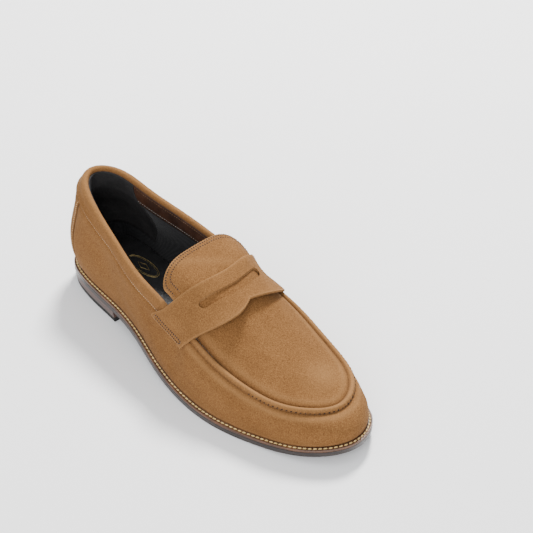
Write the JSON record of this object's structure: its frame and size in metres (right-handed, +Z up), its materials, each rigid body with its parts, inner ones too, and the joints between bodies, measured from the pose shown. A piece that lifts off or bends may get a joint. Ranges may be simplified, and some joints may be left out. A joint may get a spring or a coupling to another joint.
{
  "type": "penny loafer",
  "caption": "Suede penny loafer for the right foot: moc-toe apron with a raised seam, slotted saddle strap, padded collar, lifting tongue, stitched welt and low stacked heel.",
  "frame": {"origin": "centre of the bounding box in X and Y, on the floor that the heel and the forefoot stand on", "axes": "+Z up, -Y towards the toe, +Y towards the heel, -X the outer (lateral) side of a right shoe, +X the inner side"},
  "size_m": [0.1021, 0.3046, 0.0895],
  "materials": {
    "suede": "sand-brown suede with a soft nap",
    "sole": "dark semi-matt sole, smooth edge",
    "welt": "brown waxed leather, satin",
    "rubber": "black matt heel rubber",
    "stack": "grey-brown stacked leather, waxed edge",
    "cork": "cork sheet",
    "board": "leatherboard, matt",
    "foam": "soft padding foam",
    "black": "black lining leather, dull sheen",
    "lining": "dark brown lining leather",
    "facing": "dark brown facing leather",
    "grip": "black napped heel grip",
    "steel": "plain steel strip"
  },
  "bodies": {
    "shoe": {"apron": "suede", "apron_lining": "lining", "apron_ridge": "suede", "bottom_filler": "cork", "collar_band": "suede", "collar_facing": "facing", "collar_foam": "foam", "heel_backstay": "suede", "heel_counter": "board", "heel_grip": "grip", "heel_lift_1": "stack", "heel_lift_2": "stack", "heel_top_piece": "rubber", "insole_board": "board", "insole_foam": "foam", "outsole": "sole", "quarter_lining": "black", "saddle_strap": "suede", "shank": "steel", "sock_liner": "black", "toe_puff": "board", "vamp": "suede", "vamp_lining": "lining", "welt": "welt"},
    "tongue": {"tongue": "suede", "tongue_lining": "lining"}
  },
  "joints": [
    {"name": "tongue_lift", "type": "hinge", "parent": "shoe", "child": "tongue", "pos_m": [0.00325, -0.0107, 0.0801], "axis": [1, 0, 0], "range_deg": [0, 40], "stiffness_Nm_per_rad": 0.05}
  ]
}
